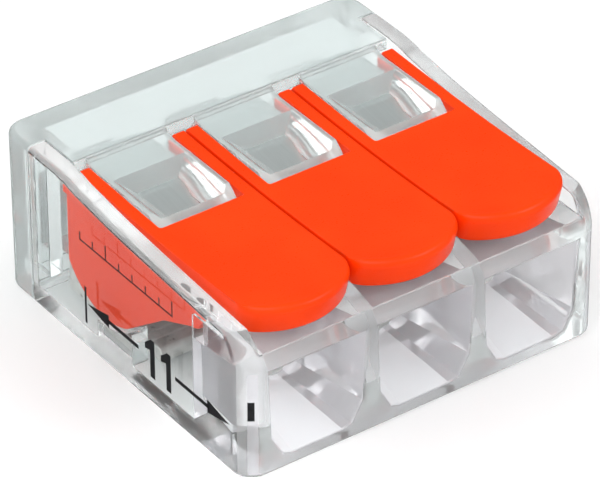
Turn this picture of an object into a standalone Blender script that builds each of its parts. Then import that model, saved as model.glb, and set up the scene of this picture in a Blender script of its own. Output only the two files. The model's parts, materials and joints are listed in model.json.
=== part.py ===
"""Three-pole lever splicing connector, at real size.

Frame: X across the poles, Y from the wire entries (-Y) to the rear (+Y), Z up, origin at
the middle of the underside. Dimensions below are in millimetres; the scene is in metres.
"""

import math

import bmesh
import bpy

MM = 0.001

# Driving dimensions of the housing
WIDTH = 18.6
DEPTH = 18.3
HEIGHT = 8.1
PITCH = 5.6
POLES = (-PITCH, 0.0, PITCH)
SIDE_WALL = 0.9
FLOOR = 0.7
CORNER_RADIUS = 1.0
SEAM_Y = 7.0
SEAM_GAP = 0.1
PARTITION = 0.4
PARTITION_TOP = 6.7
PARTITION_BACK = 1.9
EDGE_BLEND = 0.2
NOSE_RADIUS = 1.8
NOSE_HEIGHT = 5.35
TOP_POINTS = ((4.6, HEIGHT), (3.2, 7.84), (0.2, 7.5), (-3.8, 7.22))
EMBED = 0.2
CLEAR = 1.0

# Wire entries
ENTRY_BACK = -4.95
ENTRY_TOP = 6.15
MOUTH_WIDTH = 4.95
MOUTH_LOW = 0.7
MOUTH_HIGH = 5.2
THROAT_WIDTH = 3.1
THROAT_LOW = 1.4
THROAT_HIGH = 4.5
CHEEK_POCKET_FRONT = -5.7
CHEEK_POCKET_LOW = 4.9

# Lever: turns about PIVOT, front tab up and back
PIVOT = (2.0, 5.1)
LEVER_WIDTH = 5.46
LEVER_UNDER = 6.85
LEVER_TOP = 7.8
LEVER_DIP = 0.15
LEVER_FRONT = -9.05
LIP_LOW = 6.45
LIP_BACK = -7.3
LIP_STEP_BACK = -6.7
LIP_RADIUS = 3.6
DIP_REAR = 4.5
DIP_SPREAD = 1.08
WINDOW_HALF = 2.15
WINDOW_FRONT = -0.85
ARM_BACK = 4.85
ARM_TIP_HIGH = 7.3
CHEEK_INNER = 2.12
CHEEK_OUTER = 2.55
CHEEK_FRONT = (-6.3, 7.0)
CHEEK_NECK = ((-2.4, 4.2), (-5.25, 5.4))
CHEEK_FIT = 0.1
DISC_RADIUS = 3.4
DISC_END = -118.0
CRADLE_RADIUS = 3.5
CRADLE_FRONT = -0.3
CRADLE_BACK = 2.3
CRADLE_REACH = 0.65
PEG_RADIUS = 0.25
PEG_REACH = 1.6
PEG_ANGLE = 80.0
PEG_INNER = 1.4
PEG_ROOT = 0.25

# Leaf spring: a bow about BOW, a fixed contact leg above and a clamping leg below
BOW = (-3.6, 5.66)
BOW_RADIUS = 0.915
STRIP = 0.25
SPRING_HALF = 1.75
LEG_SLOPE = 8.3
LEG_ELBOW_Y = 2.05
LEG_TIP = (3.05, 1.68)
BOW_END = 250.0
CONTACT_LEG = ((6.22, 6.15), (6.22, 6.86), (2.2, 6.82), (-1.0, 6.28))

# Busbar and its upright frames
BAR_LOW = 0.8
BAR_HIGH = 1.5
BAR_HALF = 7.45
BAR_FRONT = 2.6
BAR_BACK = 6.0
CONTACT_FRONT = -1.0
CONTACT_HALF = 1.75
CONTACT_LAP = 0.4
CONTACT_NOSE = 0.25
FRAME_HALF = 1.85
FRAME_WEB = 0.6
FRAME_FRONT = 5.3
FRAME_TOP = 6.6
WINDOW_TOP = 6.0

# Rear cover
BACK_WALL = 1.0
COVER_FLOOR = 0.9
ROOF_FRONT = 4.9
ROOF_UNDER = 7.5
ROOF_LAP = 0.4
ROOF_FIT = 0.08
TONGUE_HALF = 2.06
TONGUE_TOP = 7.75
TONGUE_FRONT = -0.65
TONGUE_ARC = 3.24
TONGUE_LOW = 6.62
TONGUE_KNEE = (2.0, 7.08)
TONGUE_ROOT_LOW = 7.2
TONGUE_RAMP = ((4.2, 7.75), (4.7, 7.84), (4.9, 8.0))
RECESS_HALF = 1.86
RECESS_FRONT = -0.13
RECESS_BACK = 3.15
SLOT_HALF = 0.85
SLOT_FRONT = -0.13
SLOT_BACK = 2.35
SLOT_TOP = 6.95
SLOT_LOW = 6.0
STOP_HALF = 1.4
STOP_FRONT = 6.45
STOP_LOW = 1.9
STOP_HIGH = 5.6
COLLAR_THICK = 0.75
COLLAR_FRONT = 6.1
COLLAR_LOW = 1.6

# Finish
PLASTIC_IOR = 1.58
CLEAR_COLOUR = (0.86, 0.91, 0.92)
LEVER_COLOUR = (0.93, 0.085, 0.005)
TIN_COLOUR = (0.72, 0.72, 0.70)
STEEL_COLOUR = (0.62, 0.61, 0.59)
CLEAR_ROUGHNESS = 0.05
LEVER_ROUGHNESS = 0.38
TIN_ROUGHNESS = 0.32
STEEL_ROUGHNESS = 0.25

# How many straight pieces stand for each round stretch
CORNER_STEPS = 6
NOSE_STEPS = 8
CRADLE_STEPS = 8
TONGUE_STEPS = 5
DIP_STEPS = 8
LIP_STEPS = 12
DISC_STEPS = 14
PEG_SIDES = 16
BOW_STEPS = 14

INNER_HALF = WIDTH / 2 - SIDE_WALL
WALL_LINES = (-INNER_HALF, -PITCH / 2, PITCH / 2, INNER_HALF)


# Outlines, as lists of points

def arc(centre, radius, start, end, steps):
    """Points on an arc, from start to end in degrees, both ends included."""
    points = []
    for step in range(steps + 1):
        angle = math.radians(start + (end - start) * step / steps)
        points.append((centre[0] + radius * math.cos(angle), centre[1] + radius * math.sin(angle)))
    return points


def rectangle(low_u, high_u, low_v, high_v):
    return [(low_u, low_v), (high_u, low_v), (high_u, high_v), (low_u, high_v)]


def strip_outline(path, thickness):
    """The closed outline of a strip of even thickness along a path, with mitred bends."""
    left = []
    right = []
    for index, (u, v) in enumerate(path):
        before = path[max(index - 1, 0)]
        after = path[min(index + 1, len(path) - 1)]
        incoming = unit((u - before[0], v - before[1]))
        outgoing = unit((after[0] - u, after[1] - v))
        if index == 0:
            incoming = outgoing
        if index == len(path) - 1:
            outgoing = incoming
        along = unit((incoming[0] + outgoing[0], incoming[1] + outgoing[1]))
        normal = (-along[1], along[0])
        mitre = normal[0] * -incoming[1] + normal[1] * incoming[0]
        half = thickness / 2 / mitre
        left.append((u + normal[0] * half, v + normal[1] * half))
        right.append((u - normal[0] * half, v - normal[1] * half))
    return left + right[::-1]


def unit(vector):
    length = math.hypot(*vector)
    if length == 0:
        return vector
    return (vector[0] / length, vector[1] / length)


# Solids and Booleans

PLACE = {
    "X": lambda u, v, w: (w, u, v),
    "Y": lambda u, v, w: (u, w, v),
    "Z": lambda u, v, w: (u, v, w),
}


def loft(mesh, sections, axis):
    """Adds a closed solid through sections, each an outline across axis and its place on it."""
    place = PLACE[axis]
    rings = [[mesh.verts.new(place(u, v, w)) for u, v in outline] for outline, w in sections]
    mesh.faces.new(rings[0])
    mesh.faces.new(rings[-1])
    for low, high in zip(rings, rings[1:]):
        for index in range(len(low)):
            after = (index + 1) % len(low)
            mesh.faces.new((low[index], low[after], high[after], high[index]))


def prism(mesh, outline, low, high, axis):
    """Adds a closed prism to mesh: outline in the plane across axis, from low to high."""
    loft(mesh, ((outline, low), (outline, high)), axis)


def finish(name, mesh, origin=(0.0, 0.0, 0.0)):
    """Turns mesh, in millimetres, into an object whose origin is at origin."""
    bmesh.ops.recalc_face_normals(mesh, faces=mesh.faces)
    bmesh.ops.translate(mesh, vec=[-value for value in origin], verts=mesh.verts)
    bmesh.ops.scale(mesh, vec=(MM, MM, MM), verts=mesh.verts)
    data = bpy.data.meshes.new(name)
    mesh.to_mesh(data)
    mesh.free()
    obj = bpy.data.objects.new(name, data)
    obj.location = [value * MM for value in origin]
    bpy.context.scene.collection.objects.link(obj)
    return obj


def boolean(target, mesh, operation, label):
    """Joins, cuts or keeps what mesh covers, with a hidden helper object."""
    helper = finish(f"{target.name}_{label}", mesh)
    helper.hide_render = True
    helper.hide_viewport = True
    helper.display_type = "WIRE"
    modifier = target.modifiers.new(label, "BOOLEAN")
    modifier.operation = operation
    modifier.solver = "EXACT"
    modifier.object = helper


def paint(obj, colour, roughness, metallic=0.0, clear=0.0):
    """Gives obj its own Principled material; clear is the share of light it lets through."""
    material = bpy.data.materials.new(obj.name)
    material.use_nodes = True
    shader = material.node_tree.nodes["Principled BSDF"]
    shader.inputs["Base Color"].default_value = (*colour, 1.0)
    shader.inputs["Roughness"].default_value = roughness
    shader.inputs["Metallic"].default_value = metallic
    shader.inputs["Transmission Weight"].default_value = clear
    shader.inputs["IOR"].default_value = PLASTIC_IOR
    obj.data.materials.append(material)


def paint_clear(obj):
    paint(obj, CLEAR_COLOUR, CLEAR_ROUGHNESS, clear=1.0)


def smooth(obj, angle=35.0):
    obj.data.shade_smooth()
    obj.data.set_sharp_from_angle(angle=math.radians(angle))


# Housing body

def side_profile():
    """The housing seen from the side: its top falls towards the front and rounds over."""
    nose = arc((-DEPTH / 2 + NOSE_RADIUS, NOSE_HEIGHT), NOSE_RADIUS, 90, 180, NOSE_STEPS)
    return [(DEPTH, -CLEAR), (DEPTH, HEIGHT), *TOP_POINTS, *nose, (-DEPTH / 2, -CLEAR)]


def plan(front, back, rounded_front, inset=0.0):
    """The rounded outline from above, between two values of Y; inset draws in all but the seam."""
    side = WIDTH / 2 - inset
    radius = CORNER_RADIUS - inset
    if rounded_front:
        front += inset
        left = arc((-side + radius, front + radius), radius, 180, 270, CORNER_STEPS)
        right = arc((side - radius, front + radius), radius, 270, 360, CORNER_STEPS)
        return [*left, *right, (side, back), (-side, back)]
    back -= inset
    right = arc((side - radius, back - radius), radius, 0, 90, CORNER_STEPS)
    left = arc((-side + radius, back - radius), radius, 90, 180, CORNER_STEPS)
    return [(-side, front), (side, front), *right, *left]


def case_block(mesh, front, back, rounded_front, height):
    """Adds an upright block with a bevel round its underside, apart from the seam."""
    levels = ((0.0, EDGE_BLEND), (EDGE_BLEND, 0.0), (height, 0.0))
    loft(mesh, [(plan(front, back, rounded_front, inset), z) for z, inset in levels], "Z")


def cradle_outline():
    """A rib whose hollow top carries the round cheek of a lever."""
    start = 180 + math.degrees(math.acos((PIVOT[0] - CRADLE_FRONT) / CRADLE_RADIUS))
    end = 270 + math.degrees(math.asin((CRADLE_BACK - PIVOT[0]) / CRADLE_RADIUS))
    hollow = arc(PIVOT, CRADLE_RADIUS, start, end, CRADLE_STEPS)
    return [(CRADLE_BACK, FLOOR - EMBED), (CRADLE_FRONT, FLOOR - EMBED), *hollow]


def housing_body():
    mesh = bmesh.new()
    case_block(mesh, -DEPTH / 2, SEAM_Y - SEAM_GAP / 2, True, HEIGHT + CLEAR)
    body = finish("housing_body", mesh)

    mesh = bmesh.new()
    prism(mesh, side_profile(), -WIDTH, WIDTH, "X")
    boolean(body, mesh, "INTERSECT", "side_profile")

    mesh = bmesh.new()
    cavity = [(ENTRY_BACK, FLOOR), (DEPTH, FLOOR), (DEPTH, 2 * HEIGHT), (-DEPTH, 2 * HEIGHT)]
    cavity += [(-DEPTH, ENTRY_TOP), (ENTRY_BACK, ENTRY_TOP)]
    prism(mesh, cavity, -INNER_HALF, INNER_HALF, "X")
    boolean(body, mesh, "DIFFERENCE", "cavity")

    mesh = bmesh.new()
    wall = [(PARTITION_BACK, FLOOR - EMBED), (PARTITION_BACK, PARTITION_TOP), (ENTRY_BACK, PARTITION_TOP)]
    wall += [(ENTRY_BACK - EMBED, ENTRY_TOP - EMBED), (ENTRY_BACK - EMBED, FLOOR - EMBED)]
    for line in WALL_LINES[1:3]:
        prism(mesh, wall, line - PARTITION / 2, line + PARTITION / 2, "X")
    boolean(body, mesh, "UNION", "partitions")

    mesh = bmesh.new()
    rib = PARTITION / 2 + CRADLE_REACH
    for line in WALL_LINES:
        low = max(line - rib, -INNER_HALF - EMBED)
        high = min(line + rib, INNER_HALF + EMBED)
        prism(mesh, cradle_outline(), low, high, "X")
    boolean(body, mesh, "UNION", "cradles")

    mesh = bmesh.new()
    depth = ENTRY_BACK + DEPTH / 2
    for pole in POLES:
        spread = (MOUTH_WIDTH - THROAT_WIDTH) / 2 * CLEAR / depth
        drop = (THROAT_LOW - MOUTH_LOW) * CLEAR / depth
        mouth_half = MOUTH_WIDTH / 2 + spread
        throat_half = THROAT_WIDTH / 2 - spread
        front = rectangle(pole - mouth_half, pole + mouth_half, MOUTH_LOW - drop, MOUTH_HIGH + drop)
        back = rectangle(pole - throat_half, pole + throat_half, THROAT_LOW + drop, THROAT_HIGH - drop)
        loft(mesh, ((front, -DEPTH / 2 - CLEAR), (back, ENTRY_BACK + CLEAR)), "Y")
    boolean(body, mesh, "DIFFERENCE", "entries")

    mesh = bmesh.new()
    pocket = rectangle(CHEEK_POCKET_FRONT, ENTRY_BACK + EMBED, CHEEK_POCKET_LOW, HEIGHT)
    for pole in POLES:
        for side in (-1, 1):
            inner = pole + side * (CHEEK_INNER - CHEEK_FIT)
            outer = pole + side * (CHEEK_OUTER + CHEEK_FIT)
            low, high = sorted((inner, outer))
            prism(mesh, pocket, low, high, "X")
    boolean(body, mesh, "DIFFERENCE", "cheek_pockets")
    smooth(body)
    paint_clear(body)


# Rear cover

def tongue_outline():
    """Side view of a tongue: its nose follows the sweep of the lever's window."""
    start = math.degrees(math.acos((PIVOT[0] - TONGUE_FRONT) / TONGUE_ARC))
    end = math.degrees(math.asin((TONGUE_TOP - PIVOT[1]) / TONGUE_ARC))
    nose = arc(PIVOT, TONGUE_ARC, 180 - start, 180 - end, TONGUE_STEPS)
    root = ROOF_FRONT + EMBED
    under = [(root, TONGUE_ROOT_LOW), TONGUE_KNEE]
    return [(TONGUE_FRONT, TONGUE_LOW), *nose, *TONGUE_RAMP, (root, TONGUE_RAMP[-1][1]), *under]


def recess(mesh, pole):
    """Adds the cutter of a test slot: four slopes that narrow down to a slot right through."""
    rise = (HEIGHT - SLOT_TOP) / (TONGUE_TOP - SLOT_TOP)
    half = SLOT_HALF + (RECESS_HALF - SLOT_HALF) * rise
    front = SLOT_FRONT + (RECESS_FRONT - SLOT_FRONT) * rise
    back = SLOT_BACK + (RECESS_BACK - SLOT_BACK) * rise
    mouth = rectangle(pole - half, pole + half, front, back)
    slot = rectangle(pole - SLOT_HALF, pole + SLOT_HALF, SLOT_FRONT, SLOT_BACK)
    loft(mesh, ((slot, SLOT_LOW), (slot, SLOT_TOP), (mouth, HEIGHT)), "Z")


def rear_cover():
    front = SEAM_Y + SEAM_GAP / 2
    wall_front = DEPTH / 2 - BACK_WALL
    mesh = bmesh.new()
    case_block(mesh, front, DEPTH / 2, False, HEIGHT)
    cover = finish("rear_cover", mesh)

    mesh = bmesh.new()
    hollow = rectangle(front - CLEAR, wall_front, COVER_FLOOR, ROOF_UNDER)
    prism(mesh, hollow, -INNER_HALF, INNER_HALF, "X")
    boolean(cover, mesh, "DIFFERENCE", "hollow")

    mesh = bmesh.new()
    roof = rectangle(ROOF_FRONT, SEAM_Y + ROOF_LAP, ROOF_UNDER, HEIGHT)
    prism(mesh, roof, -INNER_HALF + ROOF_FIT, INNER_HALF - ROOF_FIT, "X")
    boolean(cover, mesh, "UNION", "roof")

    mesh = bmesh.new()
    for pole in POLES:
        prism(mesh, tongue_outline(), pole - TONGUE_HALF, pole + TONGUE_HALF, "X")
    boolean(cover, mesh, "UNION", "tongues")

    mesh = bmesh.new()
    for pole in POLES:
        recess(mesh, pole)
    boolean(cover, mesh, "DIFFERENCE", "test_slots")

    mesh = bmesh.new()
    stop = rectangle(STOP_FRONT, wall_front + EMBED, STOP_LOW, STOP_HIGH)
    for pole in POLES:
        prism(mesh, stop, pole - STOP_HALF, pole + STOP_HALF, "X")
    boolean(cover, mesh, "UNION", "wire_stops")

    mesh = bmesh.new()
    collar = rectangle(COLLAR_FRONT, wall_front + EMBED, COLLAR_LOW, ROOF_UNDER + EMBED)
    for side in (-1, 1):
        low, high = sorted((side * (INNER_HALF - ROOF_FIT), side * (INNER_HALF - COLLAR_THICK)))
        prism(mesh, collar, low, high, "X")
    boolean(cover, mesh, "UNION", "side_collars")
    smooth(cover)
    paint_clear(cover)


# Levers

def lever_side():
    """Side view of the lever's plate, arms and lip."""
    front = LEVER_FRONT - CLEAR
    top = []
    for step in range(DIP_STEPS + 1):
        share = step / DIP_STEPS
        y = DIP_REAR + (front - DIP_REAR) * share
        dip = LEVER_DIP * math.sin(math.pi * min(share * DIP_SPREAD, 1.0))
        top.append((y, LEVER_TOP - dip))
    under = [(front, LIP_LOW), (LIP_BACK, LIP_LOW), (LIP_STEP_BACK, LEVER_UNDER)]
    return [(ARM_BACK, LEVER_UNDER), (ARM_BACK, ARM_TIP_HIGH), *top, *under]


def lever_plan(pole):
    """The lever from above: straight sides and a round front."""
    half = LEVER_WIDTH / 2
    centre = (pole, LEVER_FRONT + LIP_RADIUS)
    reach = math.degrees(math.acos(half / LIP_RADIUS))
    front = arc(centre, LIP_RADIUS, 180 + reach, 360 - reach, LIP_STEPS)
    return [(pole - half, DEPTH), *front, (pole + half, DEPTH)]


def cheek_outline():
    """Side view of a cheek: round where it bears on the cradle, tapering to the front."""
    rear_reach = ARM_BACK - PIVOT[0]
    start = -math.degrees(math.acos(rear_reach / DISC_RADIUS))
    bearing = arc(PIVOT, DISC_RADIUS, start, DISC_END, DISC_STEPS)
    return [CHEEK_FRONT, (ARM_BACK, CHEEK_FRONT[1]), *bearing, *CHEEK_NECK]


def lever(name, pole):
    pivot = (pole, *PIVOT)
    mesh = bmesh.new()
    half = LEVER_WIDTH / 2 + CLEAR
    prism(mesh, lever_side(), pole - half, pole + half, "X")
    body = finish(name, mesh, pivot)

    mesh = bmesh.new()
    prism(mesh, lever_plan(pole), 0.0, 2 * HEIGHT, "Z")
    boolean(body, mesh, "INTERSECT", "plan")

    mesh = bmesh.new()
    window = rectangle(pole - WINDOW_HALF, pole + WINDOW_HALF, WINDOW_FRONT, DEPTH)
    prism(mesh, window, 0.0, 2 * HEIGHT, "Z")
    boolean(body, mesh, "DIFFERENCE", "window")

    mesh = bmesh.new()
    for side in (-1, 1):
        low, high = sorted((pole + side * CHEEK_INNER, pole + side * CHEEK_OUTER))
        prism(mesh, cheek_outline(), low, high, "X")
    boolean(body, mesh, "UNION", "cheeks")

    mesh = bmesh.new()
    angle = math.radians(180 + PEG_ANGLE)
    peg = (PIVOT[0] + PEG_REACH * math.cos(angle), PIVOT[1] + PEG_REACH * math.sin(angle))
    round_peg = arc(peg, PEG_RADIUS, 0, 360 - 360 / PEG_SIDES, PEG_SIDES - 1)
    for side in (-1, 1):
        low, high = sorted((pole + side * PEG_INNER, pole + side * (CHEEK_INNER + PEG_ROOT)))
        prism(mesh, round_peg, low, high, "X")
    boolean(body, mesh, "UNION", "drive_pegs")
    smooth(body)
    paint(body, LEVER_COLOUR, LEVER_ROUGHNESS)


# Metal insert

def busbar():
    mesh = bmesh.new()
    prism(mesh, rectangle(BAR_FRONT, BAR_BACK, BAR_LOW, BAR_HIGH), -BAR_HALF, BAR_HALF, "X")
    bar = finish("busbar", mesh)

    mesh = bmesh.new()
    back = BAR_FRONT + CONTACT_LAP
    contact = [(CONTACT_FRONT, BAR_LOW), (back, BAR_LOW), (back, BAR_HIGH)]
    contact += [(CONTACT_FRONT + CONTACT_NOSE, BAR_HIGH), (CONTACT_FRONT, BAR_HIGH - CONTACT_NOSE)]
    for pole in POLES:
        prism(mesh, contact, pole - CONTACT_HALF, pole + CONTACT_HALF, "X")
    boolean(bar, mesh, "UNION", "contacts")

    mesh = bmesh.new()
    for pole in POLES:
        upright = rectangle(pole - FRAME_HALF, pole + FRAME_HALF, BAR_LOW + EMBED, FRAME_TOP)
        prism(mesh, upright, FRAME_FRONT, BAR_BACK, "Y")
    boolean(bar, mesh, "UNION", "frames")

    mesh = bmesh.new()
    opening = FRAME_HALF - FRAME_WEB
    for pole in POLES:
        window = rectangle(pole - opening, pole + opening, BAR_HIGH, WINDOW_TOP)
        prism(mesh, window, FRAME_FRONT - CLEAR, BAR_BACK + CLEAR, "Y")
    boolean(bar, mesh, "DIFFERENCE", "frame_windows")
    paint(bar, TIN_COLOUR, TIN_ROUGHNESS, metallic=1.0)


def spring_base(name, pole):
    """The part of the spring that stays still: rear hook, contact leg and bow."""
    path = [*CONTACT_LEG, *arc(BOW, BOW_RADIUS, 90, BOW_END, BOW_STEPS)]
    mesh = bmesh.new()
    prism(mesh, strip_outline(path, STRIP), pole - SPRING_HALF, pole + SPRING_HALF, "X")
    spring = finish(name, mesh)
    smooth(spring)
    paint(spring, STEEL_COLOUR, STEEL_ROUGHNESS, metallic=1.0)


def spring_leg(name, pole):
    """The clamping leg, which swings about the bow's centre and ends in the clamping edge."""
    angle = math.radians(270 - LEG_SLOPE)
    start = (BOW[0] + BOW_RADIUS * math.cos(angle), BOW[1] + BOW_RADIUS * math.sin(angle))
    elbow_z = start[1] - (LEG_ELBOW_Y - start[0]) * math.tan(math.radians(LEG_SLOPE))
    path = [start, (LEG_ELBOW_Y, elbow_z), LEG_TIP]
    mesh = bmesh.new()
    prism(mesh, strip_outline(path, STRIP), pole - SPRING_HALF, pole + SPRING_HALF, "X")
    leg = finish(name, mesh, (pole, *BOW))
    paint(leg, STEEL_COLOUR, STEEL_ROUGHNESS, metallic=1.0)


def main():
    for obj in list(bpy.data.objects):
        bpy.data.objects.remove(obj, do_unlink=True)
    housing_body()
    rear_cover()
    busbar()
    for number, pole in enumerate(POLES, start=1):
        lever(f"lever_{number}", pole)
        spring_base(f"spring_{number}_base", pole)
        spring_leg(f"spring_{number}_leg", pole)


main()
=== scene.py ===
"""Looks of a three-pole lever splicing connector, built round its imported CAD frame.

Lengths are in millimetres in this file and are scaled to metres when a mesh is made.
X runs across the poles, the wire entries face -Y, and Z is up. A pair is a place in Y and Z
unless its comment says otherwise, and angles are in degrees.
"""

import json
import math

import bmesh
import bpy
from mathutils import Matrix, Vector


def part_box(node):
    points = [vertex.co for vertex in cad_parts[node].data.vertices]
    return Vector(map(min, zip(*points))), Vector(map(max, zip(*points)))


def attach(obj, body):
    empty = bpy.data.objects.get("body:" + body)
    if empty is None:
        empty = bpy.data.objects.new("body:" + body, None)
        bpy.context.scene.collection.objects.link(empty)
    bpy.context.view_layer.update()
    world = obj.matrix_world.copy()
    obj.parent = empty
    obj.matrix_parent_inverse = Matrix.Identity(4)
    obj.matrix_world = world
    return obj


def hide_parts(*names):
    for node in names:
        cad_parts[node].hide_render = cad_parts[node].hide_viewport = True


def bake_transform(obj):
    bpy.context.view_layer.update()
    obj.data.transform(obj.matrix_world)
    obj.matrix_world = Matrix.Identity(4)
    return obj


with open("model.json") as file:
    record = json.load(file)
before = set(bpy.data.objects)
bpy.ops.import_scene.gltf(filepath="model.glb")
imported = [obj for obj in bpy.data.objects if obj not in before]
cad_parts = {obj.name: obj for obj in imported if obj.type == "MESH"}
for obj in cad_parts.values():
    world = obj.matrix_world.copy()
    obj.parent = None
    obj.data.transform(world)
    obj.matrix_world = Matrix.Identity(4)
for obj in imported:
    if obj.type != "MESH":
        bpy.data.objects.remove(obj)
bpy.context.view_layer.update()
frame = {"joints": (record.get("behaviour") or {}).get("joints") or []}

MM = 0.001


def box_mm(node):
    low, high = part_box(node)
    return low / MM, high / MM


def hinge_mm(name):
    joint = next(joint for joint in frame["joints"] if joint["name"] == name)
    return [value / MM for value in joint["pos_m"]]


# Places read from the frame
BODY_LOW, BODY_HIGH = box_mm("housing_body")
COVER_HIGH = box_mm("rear_cover")[1]
BAR_END = box_mm("busbar")[1].x
LEVER_BOXES = [box_mm(f"lever_{number}") for number in (1, 2, 3)]
POLES = [(low.x + high.x) / 2 for low, high in LEVER_BOXES]
PIVOT = hinge_mm("lever_2_hinge")[1:]
BOW = hinge_mm("clamp_2_flex")[1:]
PITCH = POLES[1] - POLES[0]
SIDE = BODY_HIGH.x
FRONT = BODY_LOW.y
SEAM_FRONT = BODY_HIGH.y
REAR = COVER_HIGH.y
SEAM_GAP = 0.1
SEAM_BACK = SEAM_FRONT + SEAM_GAP
TOP = COVER_HIGH.z
LEVER_TOP = LEVER_BOXES[0][1].z
LEVER_FRONT = LEVER_BOXES[0][0].y
LEVER_HALF = (LEVER_BOXES[0][1].x - LEVER_BOXES[0][0].x) / 2
ARM_BACK = LEVER_BOXES[0][1].y

# Housing details
SIDE_WALL = 0.9
INNER = SIDE - SIDE_WALL
FLOOR = 0.7
CORNER = 1.0
CORNER_STEPS = 10
FOOT_BEVEL = 0.2
FOOT_STEPS = 4
TOP_ROUND = 0.3
TOP_ROUND_STEPS = 8
NOSE = 1.8
NOSE_Z = 5.35
NOSE_STEPS = 14
NOSE_OVER = 0.1
WALL_TOP_STEPS = 6
WALL_TOP_POINTS = (
    (12.0, TOP + 0.35),
    (5.0, TOP),
    (3.2, 7.84),
    (0.2, 7.5),
    (-3.8, 7.22),
    (-7.4, 7.02),
    (-14.0, 6.7),
)
ENTRY_BACK = -4.95
ENTRY_TOP = 6.15
# Up one side of a wire entry, as half widths and heights
MOUTH = ((1.3, 0.62), (1.75, 0.78), (2.3, 1.75), (2.45, 5.2))
THROAT = ((0.8, 1.3), (1.1, 1.36), (1.5, 1.8), (1.55, 4.5))

# Partitions, cradles and cheek pockets
PARTITION_HALF = 0.2
PARTITION_TOP = 6.7
PARTITION_BACK = 1.9
PARTITION_RAMP = 0.3
PARTITION_ROOT = 0.6
CRADLE_RADIUS = 3.5
CRADLE_FRONT = -0.3
CRADLE_BACK = 2.3
CRADLE_REACH = 0.65
CRADLE_STEPS = 24
LIP_ROLL = 0.16
LIP_ROLL_STEPS = 5
FUNNEL_OVER = 0.6
POCKET_FRONT = -5.7
POCKET_LOW = 4.9
CHEEK_FIT = 0.1
EMBED = 0.2
EMBED_BACK = 0.3
CLEAR = 1.0

# Rear cover details
BACK_WALL = 1.0
COVER_FLOOR = 0.9
ROOF_FRONT = 4.9
ROOF_UNDER = 7.5
ROOF_FIT = 0.08
ROOF_LAP = 0.4
STOP_HALF = 1.4
STOP_FRONT = 6.45
STOP_LOW = 1.9
STOP_HIGH = 5.6
COLLAR = 0.75
COLLAR_FRONT = 6.1
COLLAR_LOW = 1.6
TONGUE_HALF = 2.07
TONGUE_TOP = 7.75
TONGUE_FRONT = -0.65
TONGUE_LOW = 6.62
TONGUE_KNEE = (2.0, 7.08)
TONGUE_ROOT_LOW = 7.2
TONGUE_ARC = 3.24
TONGUE_STEPS = 7
TONGUE_RAMP = ((4.2, 7.75), (4.7, 7.84), (4.9, 8.0))
RECESS_HALF = 1.86
RECESS_FRONT = -0.13
RECESS_BACK = 3.15
SLOT_HALF = 0.85
SLOT_FRONT = -0.13
SLOT_BACK = 2.35
SLOT_TOP = 6.95
SLOT_LOW = 6.0

# Lever details
PLATE_UNDER = 6.85
LIP_LOW = 6.45
LIP_LEAN = 0.26
LIP_RADIUS = 3.6
LIP_BACK = -7.4
LIP_STEP_BACK = -6.7
LIP_STEPS = 28
LEVER_OVERRUN = 1.5
LEVER_DIP = 0.15
DIP_STEPS = 36
DIP_REAR = 4.5
ARM_TIP_HIGH = 7.3
WINDOW_HALF = 2.15
WINDOW_FRONT = -0.85
WINDOW_CORNER = 0.12
LEVER_CORNER = 1.1
LEVER_CORNER_STEPS = 5
LIP_ROUND = 0.42
LIP_ROUND_STEPS = 6
CHEEK_INNER = 2.12
CHEEK_OUTER = 2.55
CHEEK_FRONT = (-6.3, 7.0)
CHEEK_NECK = (-2.4, 4.2)
CHEEK_TIP = (-5.0, 5.62)
CHEEK_TIP_RADIUS = 0.25
CHEEK_TIP_ARC = (250.0, 180.0)
CHEEK_TIP_STEPS = 4
DISC_RADIUS = 3.4
DISC_END = -118.0
DISC_STEPS = 36
PEG_RADIUS = 0.25
PEG_REACH = 1.6
PEG_ANGLE = 80.0
PEG_INNER = 1.4
PEG_ROOT = 0.25
PEG_SIDES = 24

# Metal details
STRIP = 0.25
SPRING_HALF = 1.75
BOW_RADIUS = 0.915
BOW_START = 96.0
BOW_STEPS = 28
LEG_SLOPE = 8.3
LEG_ELBOW_Y = 2.05
LEG_REACH = 0.3
LEG_STEPS = 11
KNEE = ((-0.1, 0.0), (0.04, -0.13))
LEG_TIP = (3.05, 1.68)
HOOK_HALF = 1.15
HOOK_Y = 6.22
HOOK_LOW = 6.15
HOOK_BEND = (6.0, 6.64)
HOOK_EASE = 0.02
HOOK_STEPS = 5
CONTACT_LEG = ((5.7, 6.86), (2.2, 6.82), (-1.0, 6.28))
CONTACT_LEG_STEPS = 10
BAR_LOW = 0.8
BAR_HIGH = 1.5
BAR_FRONT = 2.6
BAR_BACK = 6.0
CONTACT_FRONT = -1.0
CONTACT_HALF = 1.75
CONTACT_NOSE = 0.25
CONTACT_NOSE_STEPS = 5
CONTACT_LAP = 0.4
GROOVES = 3
GROOVE_START = -0.2
GROOVE_STEP = 0.55
GROOVE_SIZE = 0.1
FRAME_HALF = 1.85
FRAME_WEB = 0.6
FRAME_FRONT = 5.3
FRAME_TOP = 6.6
FRAME_CORNER = 0.35
FRAME_WINDOW_TOP = 6.0
FRAME_WINDOW_CORNER = 0.25

# Printed strip gauge and scale on the left side
INK = 0.008
GAUGE_Z = 2.42
GAUGE_REAR = 2.55
GAUGE_FRONT = -8.0
GAUGE_LINE = 0.1
GAUGE_LAP = 0.1
REAR_TAIL = -1.3
FRONT_TAIL = -4.05
ARROW_LONG = 1.6
ARROW_HALF = 0.33
# Least and most Y, then Z
REAR_BAR = (GAUGE_REAR + 0.1, GAUGE_REAR + 0.24, 1.35, 3.25)
# Least and most Z, then the angles round the corner
FRONT_BAR = (3.0, 3.95, 226.0, 243.0)
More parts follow.
